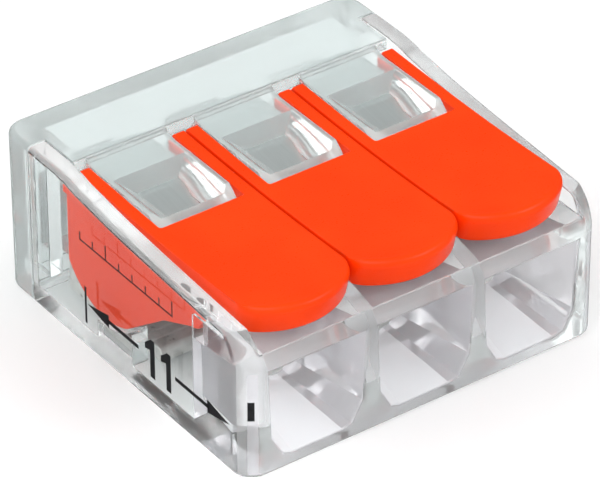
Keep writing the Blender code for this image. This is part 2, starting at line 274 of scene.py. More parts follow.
# The Y of each digit's stem
DIGITS = (-2.35, -3.55)
DIGIT_HALF = 0.17
DIGIT_LOW = 1.42
DIGIT_HIGH = 3.38
DIGIT_SLANT = 0.1
DIGIT_NECK = 2.8
FLAG_REACH = 0.55
FLAG_LOW = 2.7
FLAG_HIGH = 3.0
SCALE_Z = 5.55
SCALE_REAR = 3.05
SCALE_FRONT = -3.95
SCALE_LINE = 0.035
LONG_TICK = 0.75
SHORT_TICK = 0.4
LONG_TICK_EVERY = 5
TICK_ROOT = 0.02
PATCH_STEPS = 6

# Edges and shading
EDGE = 0.05
METAL_EDGE = 0.06
EDGE_SEGMENTS = 2
EDGE_ANGLE = 32.0
STRIP_ANGLE = 35.0
MERGE = 0.012
FLAT_ANGLE = 0.4
SMALL_FACE = 0.15
SMALL_FACE_ANGLE = 50.0
LARGE_FACE_ANGLE = 14.0

# Limits on the place and the normal of a face, which choose its finish
NOSE_FACING = -0.25
WALL_TOP_FACING = 0.3
WALL_TOP_LOW = 6.5
WALL_TOP_INNER = INNER - 0.05
FUNNEL_Y = (FRONT + 0.05, ENTRY_BACK + 0.1)
FUNNEL_Z = (0.5, 5.45)
FUNNEL_SIDE = SIDE - 0.3
UNDERSIDE_FACING = -0.3
ROOF_FACING = 0.1
REAR_FACING = 0.2
REAR_ROUND = REAR - CORNER - 0.1
SIDE_FACING = 0.5
SIDE_SKIN = SIDE - 0.3

# Clear plastic: tint, share of light let through, least and most roughness
CLEAR_WALL = ((0.94, 0.965, 0.963), 0.995, (0.02, 0.05))
CLEAR_COVER = ((0.93, 0.96, 0.958), 0.97, (0.02, 0.05))
SATIN_FRONT = ((0.92, 0.94, 0.94), 0.78, (0.05, 0.10))
SATIN_FUNNEL = ((0.90, 0.90, 0.93), 0.6, (0.06, 0.12))
SATIN_COVER = ((0.84, 0.90, 0.895), 0.7, (0.08, 0.14))
HAZY_FOOT = ((0.92, 0.95, 0.948), 0.93, (0.06, 0.12))
PLASTIC_IOR = 1.58
NOISE_LOW = 0.3
NOISE_HIGH = 0.7

# Studio
FLOOR_REACH = 2000.0
FLOOR_DROP = 0.03
AIM = (0.0, 0.0, 4.0)
# Place, size and power
LIGHTS = {
    "key_light": ((-150.0, -120.0, 260.0), 260.0, 0.42),
    "rear_light": ((-190.0, 170.0, 180.0), 200.0, 0.16),
    "front_light": ((150.0, -180.0, 200.0), 110.0, 0.2),
}
WORLD_STRENGTH = 0.75
CAMERA_AZIMUTH = -35.56
CAMERA_ELEVATION = 34.76
CAMERA_ROLL = -0.24
CAMERA_DISTANCE = 200.0
CAMERA_LENS = 277.8
CAMERA_SHIFT = (0.0013, -0.0167)
CAMERA_NEAR = 5.0
CLEAR_BOUNCES = 40
GLOSSY_BOUNCES = 16


# Outlines

def arc(centre, radius, start, end, steps):
    """Points on an arc, from start to end in degrees, both ends included."""
    points = []
    for step in range(steps + 1):
        angle = math.radians(start + (end - start) * step / steps)
        points.append((centre[0] + radius * math.cos(angle), centre[1] + radius * math.sin(angle)))
    return points


def rectangle(low_u, high_u, low_v, high_v):
    return [(low_u, low_v), (high_u, low_v), (high_u, high_v), (low_u, high_v)]


def round_rectangle(low_u, high_u, low_v, high_v, radius, steps=6):
    corners = (
        (high_u - radius, high_v - radius, 0),
        (low_u + radius, high_v - radius, 90),
        (low_u + radius, low_v + radius, 180),
        (high_u - radius, low_v + radius, 270),
    )
    points = []
    for u, v, start in corners:
        points += arc((u, v), radius, start, start + 90, steps)
    return points


def smooth_line(points, steps):
    """A Catmull-Rom curve through points, as steps pieces for each stretch."""
    found = []
    for index in range(len(points) - 1):
        p0 = Vector(points[max(index - 1, 0)])
        p1 = Vector(points[index])
        p2 = Vector(points[index + 1])
        p3 = Vector(points[min(index + 2, len(points) - 1)])
        for step in range(steps):
            t = step / steps
            value = 2 * p1 + (p2 - p0) * t
            value += (2 * p0 - 5 * p1 + 4 * p2 - p3) * t**2
            value += (3 * p1 - p0 - 3 * p2 + p3) * t**3
            found.append(tuple(value / 2))
    found.append(tuple(points[-1]))
    return found


# Meshes and Booleans

def loft(mesh, rings):
    """Adds a closed solid through rings of points, each with the same number of points."""
    made = [[mesh.verts.new(point) for point in ring] for ring in rings]
    mesh.faces.new(made[0])
    mesh.faces.new(made[-1])
    for low, high in zip(made, made[1:]):
        for index in range(len(low)):
            after = (index + 1) % len(low)
            mesh.faces.new((low[index], low[after], high[after], high[index]))


def prism(mesh, outline, low, high, axis):
    """Adds a closed prism: outline in the plane across axis, from low to high."""
    place = {
        "X": lambda u, v, w: (w, u, v),
        "Y": lambda u, v, w: (u, w, v),
        "Z": lambda u, v, w: (u, v, w),
    }[axis]
    loft(mesh, [[place(u, v, end) for u, v in outline] for end in (low, high)])


def make(name, mesh):
    """Turns mesh, in millimetres, into an object in the scene."""
    bmesh.ops.recalc_face_normals(mesh, faces=mesh.faces)
    bmesh.ops.scale(mesh, vec=(MM, MM, MM), verts=mesh.verts)
    data = bpy.data.meshes.new(name)
    mesh.to_mesh(data)
    mesh.free()
    obj = bpy.data.objects.new(name, data)
    bpy.context.scene.collection.objects.link(obj)
    return obj


def bake_modifiers(obj):
    """Replaces obj's mesh with the result of its modifiers."""
    bpy.context.view_layer.update()
    graph = bpy.context.evaluated_depsgraph_get()
    result = bpy.data.meshes.new_from_object(obj.evaluated_get(graph), depsgraph=graph)
    result.name = obj.name
    obj.modifiers.clear()
    obj.data = result


def combine(obj, mesh, operation):
    """Applies one exact Boolean between obj and mesh."""
    other = make(obj.name + "_tool", mesh)
    modifier = obj.modifiers.new("shape", "BOOLEAN")
    modifier.operation = operation
    modifier.solver = "EXACT"
    modifier.object = other
    bake_modifiers(obj)
    bpy.data.objects.remove(other)


def tidy(obj):
    """Merges what a Boolean splits: doubled points and coplanar faces."""
    mesh = bmesh.new()
    mesh.from_mesh(obj.data)
    bmesh.ops.remove_doubles(mesh, verts=mesh.verts, dist=MERGE * MM)
    bmesh.ops.dissolve_limit(
        mesh, angle_limit=math.radians(FLAT_ANGLE), verts=mesh.verts, edges=mesh.edges, delimit={"NORMAL"}
    )
    mesh.to_mesh(obj.data)
    mesh.free()


def set_normals(obj):
    """Shades each corner by the area-weighted mean of the faces round it that nearly match."""
    data = obj.data
    around = [[] for _ in data.vertices]
    for face in data.polygons:
        for vertex in face.vertices:
            around[vertex].append((face.normal.copy(), face.area))
    normals = []
    for face in data.polygons:
        own = face.normal.copy()
        small = face.area < SMALL_FACE * MM**2
        least = math.cos(math.radians(SMALL_FACE_ANGLE if small else LARGE_FACE_ANGLE))
        for vertex in face.vertices:
            near = [normal * area for normal, area in around[vertex] if normal.dot(own) > least]
            normals.append(sum(near, Vector()).normalized())
    data.shade_smooth()
    data.normals_split_custom_set(normals)


def soften(obj, width):
    """Rounds the sharp edges by width and shades the rest smooth."""
    tidy(obj)
    modifier = obj.modifiers.new("edges", "BEVEL")
    modifier.width = width * MM
    modifier.segments = EDGE_SEGMENTS
    modifier.limit_method = "ANGLE"
    modifier.angle_limit = math.radians(EDGE_ANGLE)
    modifier.use_clamp_overlap = False
    modifier.miter_outer = "MITER_ARC"
    bake_modifiers(obj)
    set_normals(obj)


# Clear housing

def case_plan(front, back, inset_front, inset_back, inset_side, corner_front, corner_back):
    """The rounded outline of the case from above, each end drawn in on its own."""
    side = SIDE - inset_side
    front += inset_front
    back -= inset_back
    radius = CORNER - inset_side
    points = []
    if corner_back:
        points += arc((side - radius, back - radius), radius, 0, 90, CORNER_STEPS)
        points += arc((-side + radius, back - radius), radius, 90, 180, CORNER_STEPS)
    else:
        points += [(side, back), (-side, back)]
    if corner_front:
        points += arc((-side + radius, front + radius), radius, 180, 270, CORNER_STEPS)
        points += arc((side - radius, front + radius), radius, 270, 360, CORNER_STEPS)
    else:
        points += [(-side, front), (side, front)]
    return points


def foot_levels():
    """Heights and insets of a rounded foot edge."""
    levels = []
    for step in range(FOOT_STEPS + 1):
        angle = math.radians(90 * step / FOOT_STEPS)
        levels.append((FOOT_BEVEL * (1 - math.sin(angle)), FOOT_BEVEL * (1 - math.cos(angle))))
    return sorted(levels)


def housing_rings():
    """The case front: round foot, upright sides and a nose that rolls back."""
    rings = []
    for z, inset in foot_levels():
        plan = case_plan(FRONT, SEAM_FRONT, inset, 0.0, inset, True, False)
        rings.append([(x, y, z) for x, y in plan])
    for step in range(NOSE_STEPS + 1):
        angle = math.radians(90 * step / NOSE_STEPS)
        z = NOSE_Z + NOSE * math.sin(angle)
        plan = case_plan(FRONT, SEAM_FRONT, NOSE * (1 - math.cos(angle)), 0.0, 0.0, True, False)
        rings.append([(x, y, z) for x, y in plan])
    plan = case_plan(FRONT, SEAM_FRONT, NOSE + NOSE_OVER, 0.0, 0.0, True, False)
    rings.append([(x, y, TOP + CLEAR) for x, y in plan])
    return rings


def wall_top_rings():
    """A pillow whose top follows the side walls and rounds over at both sides."""
    line = smooth_line([Vector(point) for point in WALL_TOP_POINTS], WALL_TOP_STEPS)
    line = [(y, min(z, TOP)) for y, z in line]
    stations = []
    for step in range(TOP_ROUND_STEPS + 1):
        angle = math.radians(90 * step / TOP_ROUND_STEPS)
        across = SIDE - TOP_ROUND * (1 - math.sin(angle))
        stations.append((across, TOP_ROUND * (1 - math.cos(angle))))
    stations = [(-x, drop) for x, drop in stations[::-1]] + stations
    stations = sorted(set(stations))
    rings = []
    for x, drop in stations:
        ring = [(x, y, z - drop) for y, z in line]
        ring += [(x, line[-1][0], -CLEAR), (x, line[0][0], -CLEAR)]
        rings.append(ring)
    return rings


def cradle_outline():
    """A rib whose hollow top carries the round cheek of a lever."""
    start = 180 + math.degrees(math.acos((PIVOT[0] - CRADLE_FRONT) / CRADLE_RADIUS))
    end = 270 + math.degrees(math.asin((CRADLE_BACK - PIVOT[0]) / CRADLE_RADIUS))
    hollow = arc(PIVOT, CRADLE_RADIUS, start, end, CRADLE_STEPS)
    return [(CRADLE_BACK, FLOOR - EMBED), (CRADLE_FRONT, FLOOR - EMBED), *hollow]


def entry_outline(pole, corners, grow=0.0):
    """A wire entry from the front: level floor, two slopes up each side, upright walls, flat top."""
    centre = (corners[0][1] + corners[-1][1]) / 2
    right = []
    for x, z in corners:
        right.append((x + grow, z + math.copysign(grow, z - centre)))
    left = [(-x, z) for x, z in right[::-1]]
    return [(pole + x, z) for x, z in [*right, *left]]


def funnel_rings(pole):
    """A wire entry: a rolled lip, then a funnel down to the throat."""
    depth = ENTRY_BACK - FRONT
    rings = []
    for step in range(LIP_ROLL_STEPS + 1):
        angle = math.radians(90 * step / LIP_ROLL_STEPS)
        grow = LIP_ROLL * (1 - math.sin(angle))
        outline = entry_outline(pole, MOUTH, grow)
        rings.append([(x, FRONT + LIP_ROLL * (1 - math.cos(angle)), z) for x, z in outline])
    lip = entry_outline(pole, MOUTH, LIP_ROLL)
    rings.insert(0, [(x, FRONT - FUNNEL_OVER, z) for x, z in lip])
    for reach in (depth, depth + FUNNEL_OVER):
        rings.append([(x, FRONT + reach, z) for x, z in entry_outline(pole, THROAT)])
    return rings


def clear_housing():
    mesh = bmesh.new()
    loft(mesh, housing_rings())
    body = make("housing_clear", mesh)

    mesh = bmesh.new()
    loft(mesh, wall_top_rings())
    combine(body, mesh, "INTERSECT")

    mesh = bmesh.new()
    cavity = [(ENTRY_BACK, FLOOR), (REAR, FLOOR), (REAR, 2 * TOP), (2 * FRONT, 2 * TOP)]
    cavity += [(2 * FRONT, ENTRY_TOP), (ENTRY_BACK, ENTRY_TOP)]
    prism(mesh, cavity, -INNER, INNER, "X")
    combine(body, mesh, "DIFFERENCE")

    mesh = bmesh.new()
    for line in (-PITCH / 2, PITCH / 2):
        wall = [
            (PARTITION_BACK, FLOOR - EMBED),
            (PARTITION_BACK, PARTITION_TOP - PARTITION_RAMP),
            (PARTITION_BACK - PARTITION_RAMP, PARTITION_TOP),
            (ENTRY_BACK, PARTITION_TOP),
            (ENTRY_BACK - PARTITION_ROOT, ENTRY_TOP - EMBED),
            (ENTRY_BACK - PARTITION_ROOT, FLOOR - EMBED),
        ]
        prism(mesh, wall, line - PARTITION_HALF, line + PARTITION_HALF, "X")
    combine(body, mesh, "UNION")

    mesh = bmesh.new()
    rib = PARTITION_HALF + CRADLE_REACH
    for line in (-INNER, -PITCH / 2, PITCH / 2, INNER):
        low = max(line - rib, -INNER - EMBED)
        high = min(line + rib, INNER + EMBED)
        prism(mesh, cradle_outline(), low, high, "X")
    combine(body, mesh, "UNION")

    mesh = bmesh.new()
    for pole in POLES:
        loft(mesh, funnel_rings(pole))
    combine(body, mesh, "DIFFERENCE")

    mesh = bmesh.new()
    pocket = rectangle(POCKET_FRONT, ENTRY_BACK + EMBED, POCKET_LOW, TOP)
    for pole in POLES:
        for side in (-1, 1):
            inner = pole + side * (CHEEK_INNER - CHEEK_FIT)
            outer = pole + side * (CHEEK_OUTER + CHEEK_FIT)
            low, high = sorted((inner, outer))
            prism(mesh, pocket, low, high, "X")
    combine(body, mesh, "DIFFERENCE")
    soften(body, EDGE)
    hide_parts("housing_body")
    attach(body, "housing")
    return body


# Clear rear cover

def cover_rings():
    """The rear plate: round foot, round rear corners and a rounded top edge."""
    rings = []
    for z, inset in foot_levels():
        plan = case_plan(SEAM_BACK, REAR, 0.0, inset, inset, False, True)
        rings.append([(x, y, z) for x, y in plan])
    for step in range(TOP_ROUND_STEPS + 1):
        angle = math.radians(90 * step / TOP_ROUND_STEPS)
        inset = TOP_ROUND * (1 - math.cos(angle))
        plan = case_plan(SEAM_BACK, REAR, 0.0, inset, inset, False, True)
        rings.append([(x, y, TOP - TOP_ROUND + TOP_ROUND * math.sin(angle)) for x, y in plan])
    return rings


def tongue_outline():
    """Side view of a tongue: its nose follows the sweep of the lever's window."""
    start = math.degrees(math.acos((PIVOT[0] - TONGUE_FRONT) / TONGUE_ARC))
    end = math.degrees(math.asin((TONGUE_TOP - PIVOT[1]) / TONGUE_ARC))
    nose = arc(PIVOT, TONGUE_ARC, 180 - start, 180 - end, TONGUE_STEPS)
    root = ROOF_FRONT + EMBED_BACK
    under = [(root, TONGUE_ROOT_LOW), TONGUE_KNEE]
    return [(TONGUE_FRONT, TONGUE_LOW), *nose, *TONGUE_RAMP, (root, TONGUE_RAMP[-1][1]), *under]


def recess(mesh, pole):
    """Adds the cutter of a test slot: four slopes that narrow down to a slot right through."""
    rise = (TOP - SLOT_TOP) / (TONGUE_TOP - SLOT_TOP)
    half = SLOT_HALF + (RECESS_HALF - SLOT_HALF) * rise
    front = SLOT_FRONT + (RECESS_FRONT - SLOT_FRONT) * rise
    back = SLOT_BACK + (RECESS_BACK - SLOT_BACK) * rise
    mouth = rectangle(pole - half, pole + half, front, back)
    slot = rectangle(pole - SLOT_HALF, pole + SLOT_HALF, SLOT_FRONT, SLOT_BACK)
    levels = ((slot, SLOT_LOW), (slot, SLOT_TOP), (mouth, TOP))
    loft(mesh, [[(x, y, z) for x, y in outline] for outline, z in levels])


def clear_cover():
    wall_front = REAR - BACK_WALL
    half = INNER - ROOF_FIT
    mesh = bmesh.new()
    loft(mesh, cover_rings())
    cover = make("cover_clear", mesh)

    mesh = bmesh.new()
    prism(mesh, rectangle(SEAM_FRONT - CLEAR, wall_front, COVER_FLOOR, ROOF_UNDER), -half, half, "X")
    combine(cover, mesh, "DIFFERENCE")

    mesh = bmesh.new()
    roof = rectangle(ROOF_FRONT, SEAM_BACK + ROOF_LAP, ROOF_UNDER, TOP)
    prism(mesh, roof, -half, half, "X")
    combine(cover, mesh, "UNION")

    mesh = bmesh.new()
    for pole in POLES:
        prism(mesh, tongue_outline(), pole - TONGUE_HALF, pole + TONGUE_HALF, "X")
    combine(cover, mesh, "UNION")

    mesh = bmesh.new()
    for pole in POLES:
        recess(mesh, pole)
    combine(cover, mesh, "DIFFERENCE")

    mesh = bmesh.new()
    stop = rectangle(STOP_FRONT, wall_front + EMBED_BACK, STOP_LOW, STOP_HIGH)
    for pole in POLES:
        prism(mesh, stop, pole - STOP_HALF, pole + STOP_HALF, "X")
    combine(cover, mesh, "UNION")

    mesh = bmesh.new()
    collar = rectangle(COLLAR_FRONT, wall_front + EMBED_BACK, COLLAR_LOW, ROOF_UNDER + EMBED)
    for side in (-1, 1):
        low, high = sorted((side * half, side * (INNER - COLLAR)))
        prism(mesh, collar, low, high, "X")
    combine(cover, mesh, "UNION")
    soften(cover, EDGE)
    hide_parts("rear_cover")
    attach(cover, "housing")
    return cover


# Levers

def lever_top(y):
    """Height of the lever's gently hollow top."""
    share = (DIP_REAR - y) / (DIP_REAR - LEVER_FRONT - CLEAR)
    return LEVER_TOP - LEVER_DIP * math.sin(math.pi * min(max(share, 0.0), 1.0))


def lever_side():
    """Side view of the lever's plate, arms and lip, past its front, which lever_plan trims."""
    front = LEVER_FRONT - LEVER_OVERRUN
    top = []
    for step in range(DIP_STEPS + 1):
        y = DIP_REAR + (front - DIP_REAR) * step / DIP_STEPS
        top.append((y, lever_top(y)))
    under = [(front, LIP_LOW), (LIP_BACK, LIP_LOW), (LIP_STEP_BACK, PLATE_UNDER)]
    return [(ARM_BACK, PLATE_UNDER), (ARM_BACK, ARM_TIP_HIGH), *top, *under]


def lever_plan(pole, z, inset=0.0):
    """The lever from above at height z: its round front leans back towards the bottom."""
    corner = LEVER_CORNER
    front = LEVER_FRONT + (LEVER_TOP - z) * LIP_LEAN + inset
    centre = (pole, front + LIP_RADIUS)
    inner = LIP_RADIUS - corner
    reach = math.degrees(math.acos((LEVER_HALF - corner) / inner))
    corner_y = centre[1] - math.sin(math.radians(reach)) * inner
    steps = LEVER_CORNER_STEPS
    left = arc((pole - LEVER_HALF + corner, corner_y), corner, 180, 180 + reach, steps)
    middle = arc(centre, LIP_RADIUS, 180 + reach, 360 - reach, LIP_STEPS)
    right = arc((pole + LEVER_HALF - corner, corner_y), corner, 360 - reach, 360, steps)
    ends = ((pole - LEVER_HALF, 2 * REAR), (pole + LEVER_HALF, 2 * REAR))
    outline = [ends[0], *left, *middle[1:-1], *right, ends[1]]
    return [(x, y, z) for x, y in outline]


def cheek_outline():
    """Side view of a cheek: round where it bears on the cradle, tapering to the front."""
    rear_reach = ARM_BACK - PIVOT[0]
    start = -math.degrees(math.acos(rear_reach / DISC_RADIUS))
    bearing = arc(PIVOT, DISC_RADIUS, start, DISC_END, DISC_STEPS)
    tip = arc(CHEEK_TIP, CHEEK_TIP_RADIUS, *CHEEK_TIP_ARC, CHEEK_TIP_STEPS)
    return [CHEEK_FRONT, (ARM_BACK, CHEEK_FRONT[1]), *bearing, CHEEK_NECK, *tip]


def lever(number, pole):
    mesh = bmesh.new()
    prism(mesh, lever_side(), pole - LEVER_HALF - CLEAR, pole + LEVER_HALF + CLEAR, "X")
    body = make(f"lever_{number}_moulding", mesh)

    mesh = bmesh.new()
    rings = [lever_plan(pole, 0.0)]
    for step in range(LIP_ROUND_STEPS + 1):
        angle = math.radians(90 * step / LIP_ROUND_STEPS)
        z = LEVER_TOP - LIP_ROUND * (1 - math.sin(angle))
        rings.append(lever_plan(pole, z, LIP_ROUND * (1 - math.cos(angle))))
    rings.append(lever_plan(pole, 2 * TOP, 2 * LIP_ROUND + TOP * LIP_LEAN))
    loft(mesh, rings)
    combine(body, mesh, "INTERSECT")

    mesh = bmesh.new()
    low_x = pole - WINDOW_HALF
    high_x = pole + WINDOW_HALF
    window = round_rectangle(low_x, high_x, WINDOW_FRONT, 2 * REAR, WINDOW_CORNER, 8)
    prism(mesh, window, 0.0, 2 * TOP, "Z")
    combine(body, mesh, "DIFFERENCE")

    mesh = bmesh.new()
    for side in (-1, 1):
        low, high = sorted((pole + side * CHEEK_INNER, pole + side * CHEEK_OUTER))
        prism(mesh, cheek_outline(), low, high, "X")
    combine(body, mesh, "UNION")

    mesh = bmesh.new()
    angle = math.radians(180 + PEG_ANGLE)
    peg = (PIVOT[0] + PEG_REACH * math.cos(angle), PIVOT[1] + PEG_REACH * math.sin(angle))
    round_peg = arc(peg, PEG_RADIUS, 0, 360 - 360 / PEG_SIDES, PEG_SIDES - 1)
    for side in (-1, 1):
        low, high = sorted((pole + side * PEG_INNER, pole + side * (CHEEK_INNER + PEG_ROOT)))
        prism(mesh, round_peg, low, high, "X")
    combine(body, mesh, "UNION")
    soften(body, EDGE)
    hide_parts(f"lever_{number}")
    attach(body, f"lever_{number}")
    return body


# Metal insert

def busbar():
    mesh = bmesh.new()
    prism(mesh, rectangle(BAR_FRONT, BAR_BACK, BAR_LOW, BAR_HIGH), -BAR_END, BAR_END, "X")
    bar = make("busbar_tinned", mesh)

    mesh = bmesh.new()
    back = BAR_FRONT + CONTACT_LAP
    nose = (CONTACT_FRONT + CONTACT_NOSE, BAR_HIGH - CONTACT_NOSE)
    contact = [(CONTACT_FRONT, BAR_LOW), (back, BAR_LOW), (back, BAR_HIGH)]
    contact += arc(nose, CONTACT_NOSE, 90, 180, CONTACT_NOSE_STEPS)
    for pole in POLES:
        prism(mesh, contact, pole - CONTACT_HALF, pole + CONTACT_HALF, "X")
    combine(bar, mesh, "UNION")

    mesh = bmesh.new()
    for pole in POLES:
        sides = (pole - FRAME_HALF, pole + FRAME_HALF)
        outline = round_rectangle(*sides, BAR_LOW - CLEAR, FRAME_TOP, FRAME_CORNER)
        trimmed = [(x, max(z, BAR_LOW + EMBED)) for x, z in outline]
        prism(mesh, trimmed, FRAME_FRONT, BAR_BACK, "Y")
    combine(bar, mesh, "UNION")

    mesh = bmesh.new()
    opening = FRAME_HALF - FRAME_WEB
    for pole in POLES:
        sides = (pole - opening, pole + opening)
        window = round_rectangle(*sides, BAR_HIGH, FRAME_WINDOW_TOP, FRAME_WINDOW_CORNER)
        prism(mesh, window, FRAME_FRONT - CLEAR, BAR_BACK + CLEAR, "Y")
    combine(bar, mesh, "DIFFERENCE")

    mesh = bmesh.new()
    for pole in POLES:
        for groove in range(GROOVES):
            y = GROOVE_START + GROOVE_STEP * groove
            over = BAR_HIGH + GROOVE_SIZE
            cut = [(y - GROOVE_SIZE, over), (y, BAR_HIGH - GROOVE_SIZE), (y + GROOVE_SIZE, over)]
            prism(mesh, cut, pole - CONTACT_HALF - EMBED, pole + CONTACT_HALF + EMBED, "X")
    combine(bar, mesh, "DIFFERENCE")
    soften(bar, METAL_EDGE)
    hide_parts("busbar")
    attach(bar, "housing")
    return bar


def spring_path():
    """The whole strip from its rear hook over the bow to the clamping edge, in the YZ plane."""
    radius = HOOK_Y - HOOK_BEND[0]
    hook = [(HOOK_Y, HOOK_LOW), (HOOK_Y, HOOK_BEND[1] - HOOK_EASE)]
    hook += arc(HOOK_BEND, radius, 0, 90, HOOK_STEPS)
    contact = smooth_line(CONTACT_LEG, CONTACT_LEG_STEPS)
    bend = arc(BOW, BOW_RADIUS, BOW_START, 270 - LEG_SLOPE, BOW_STEPS)
    start = bend[-1]
    slope = math.tan(math.radians(LEG_SLOPE))
    leg = []
    for step in range(1, LEG_STEPS + 1):
        y = start[0] + (LEG_ELBOW_Y - LEG_REACH - start[0]) * step / LEG_STEPS
        leg.append((y, start[1] - (y - start[0]) * slope))
    knee_z = start[1] - (LEG_ELBOW_Y - start[0]) * slope
    knee = [(LEG_ELBOW_Y + y, knee_z + z) for y, z in KNEE]
    return [*hook, *contact, *bend, *leg, *knee, LEG_TIP]


def spring(number, pole):
    """One bent strip, from its rear hook over the bow to the clamping edge."""
    path = [Vector(point) for point in spring_path()]
    blunt = 1 - 2 * EDGE / STRIP
    mesh = bmesh.new()
    rows = []
    for index, point in enumerate(path):
        before = path[max(index - 1, 0)]
        after = path[min(index + 1, len(path) - 1)]
        along = (after - before).normalized()
        normal = Vector((-along.y, along.x)) * STRIP / 2
        half = HOOK_HALF if index < HOOK_STEPS + 2 else SPRING_HALF
        section = (
            (-half, blunt),
            (-half + EDGE, 1.0),
            (half - EDGE, 1.0),
            (half, blunt),
            (half, -blunt),
            (half - EDGE, -1.0),
            (-half + EDGE, -1.0),
            (-half, -blunt),
        )
        rows.append([(pole + x, *(point + normal * side)) for x, side in section])
    loft(mesh, rows)
    strip = make(f"spring_{number}_strip", mesh)
    strip.data.shade_smooth()
    strip.data.set_sharp_from_angle(angle=math.radians(STRIP_ANGLE))
    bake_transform(strip)
    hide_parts(f"spring_{number}_base", f"spring_{number}_leg")
    return strip


# Printed strip gauge on the left side

def flat_shape(mesh, outline):
    """Adds a thin printed patch on the left side wall; outline is in Y and Z."""
    prism(mesh, outline, -SIDE - INK, -SIDE + INK, "X")


def corner_patch(mesh, low_z, high_z, start, end):
    """Adds a thin printed patch on the rounded front left corner, between two angles."""
    centre = (-SIDE + CORNER, FRONT + CORNER)
    outer = arc(centre, CORNER + INK, start, end, PATCH_STEPS)
    inner = arc(centre, CORNER - INK, end, start, PATCH_STEPS)
    prism(mesh, [*outer, *inner], low_z, high_z, "Z")


def side_print():
    """A strip-length gauge: end bars, arrows and the number between them, and a plain scale."""
    mesh = bmesh.new()
    flat_shape(mesh, rectangle(*REAR_BAR))
    corner_patch(mesh, *FRONT_BAR)
    for tip, tail, way in ((GAUGE_REAR, REAR_TAIL, -1), (GAUGE_FRONT, FRONT_TAIL, 1)):
        base = tip + way * ARROW_LONG
        flat_shape(mesh, [(tip, GAUGE_Z), (base, GAUGE_Z + ARROW_HALF), (base, GAUGE_Z - ARROW_HALF)])
        low, high = sorted((base - way * GAUGE_LAP, tail))
        flat_shape(mesh, rectangle(low, high, GAUGE_Z - GAUGE_LINE, GAUGE_Z + GAUGE_LINE))
    for y in DIGITS:
        front = y - DIGIT_HALF
        rear = y + DIGIT_HALF
        flag = y + FLAG_REACH
        digit = [(front, DIGIT_LOW), (rear, DIGIT_LOW), (rear, DIGIT_NECK), (flag, FLAG_LOW)]
        digit += [(flag, FLAG_HIGH), (y + DIGIT_SLANT, DIGIT_HIGH), (front, DIGIT_HIGH)]
        flat_shape(mesh, digit)
    flat_shape(mesh, rectangle(SCALE_FRONT, SCALE_REAR, SCALE_Z - SCALE_LINE, SCALE_Z + SCALE_LINE))
    steps = round(SCALE_REAR - SCALE_FRONT)
    for step in range(steps + 1):
        y = SCALE_FRONT + (SCALE_REAR - SCALE_FRONT) * step / steps
        y = min(max(y, SCALE_FRONT + SCALE_LINE), SCALE_REAR - SCALE_LINE)
        high = SCALE_Z + (LONG_TICK if step % LONG_TICK_EVERY == 0 else SHORT_TICK)
        flat_shape(mesh, rectangle(y - SCALE_LINE, y + SCALE_LINE, SCALE_Z + TICK_ROOT, high))
    marks = make("strip_gauge_print", mesh)
    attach(marks, "housing")
    return marks


# Materials

def new_material(name):
    material = bpy.data.materials.new(name)
    material.use_nodes = True
    tree = material.node_tree
    return material, tree, tree.nodes["Principled BSDF"]


def add_noise(tree, scale, detail, stretch=(1.0, 1.0, 1.0)):
    """A noise texture in the object's own space; scale is in features per millimetre."""
    place = tree.nodes.new("ShaderNodeTexCoord")
    mapping = tree.nodes.new("ShaderNodeMapping")
    mapping.inputs["Scale"].default_value = [scale / MM * value for value in stretch]
    noise = tree.nodes.new("ShaderNodeTexNoise")
    noise.inputs["Scale"].default_value = 1.0
    noise.inputs["Detail"].default_value = detail
    tree.links.new(place.outputs["Object"], mapping.inputs["Vector"])
    tree.links.new(mapping.outputs["Vector"], noise.inputs["Vector"])
    return noise


def map_range(tree, source, low, high):
    """Spreads a noise over the values from low to high."""
    node = tree.nodes.new("ShaderNodeMapRange")
    node.inputs["From Min"].default_value = NOISE_LOW
    node.inputs["From Max"].default_value = NOISE_HIGH
    node.inputs["To Min"].default_value = low
    node.inputs["To Max"].default_value = high
    tree.links.new(source, node.inputs["Value"])
    return node.outputs["Result"]


def add_bump(tree, shader, source, distance):
    node = tree.nodes.new("ShaderNodeBump")
    node.inputs["Distance"].default_value = distance * MM
    node.inputs["Strength"].default_value = 1.0
    tree.links.new(source, node.inputs["Height"])
    tree.links.new(node.outputs["Normal"], shader.inputs["Normal"])


def mix_colours(tree, source, low, high):
    """Spreads a noise over the colours from low to high."""
    node = tree.nodes.new("ShaderNodeMix")
    node.data_type = "RGBA"
    first, second = [socket for socket in node.inputs if socket.type == "RGBA"]
    mixed = next(socket for socket in node.outputs if socket.type == "RGBA")
    first.default_value = (*low, 1.0)
    second.default_value = (*high, 1.0)
    tree.links.new(map_range(tree, source, low=0.0, high=1.0), node.inputs["Factor"])
    return mixed


def clear_plastic(name, tint, clearness, polish):
    """Polycarbonate with faint flow lines; polish is the least and the most roughness."""
    material, tree, shader = new_material(name)
    shader.inputs["Base Color"].default_value = (*tint, 1.0)
    shader.inputs["Transmission Weight"].default_value = clearness
    shader.inputs["IOR"].default_value = PLASTIC_IOR
    shader.inputs["Specular IOR Level"].default_value = 0.15
    shader.inputs["Specular Tint"].default_value = (0.0, 0.0, 0.0, 1.0)
    haze = add_noise(tree, scale=0.6, detail=2.0)
    roughness = map_range(tree, haze.outputs["Fac"], *polish)
    tree.links.new(roughness, shader.inputs["Roughness"])
    flow = add_noise(tree, scale=0.5, detail=1.0, stretch=(1.0, 0.35, 1.0))
    add_bump(tree, shader, flow.outputs["Fac"], distance=0.008)
    return material


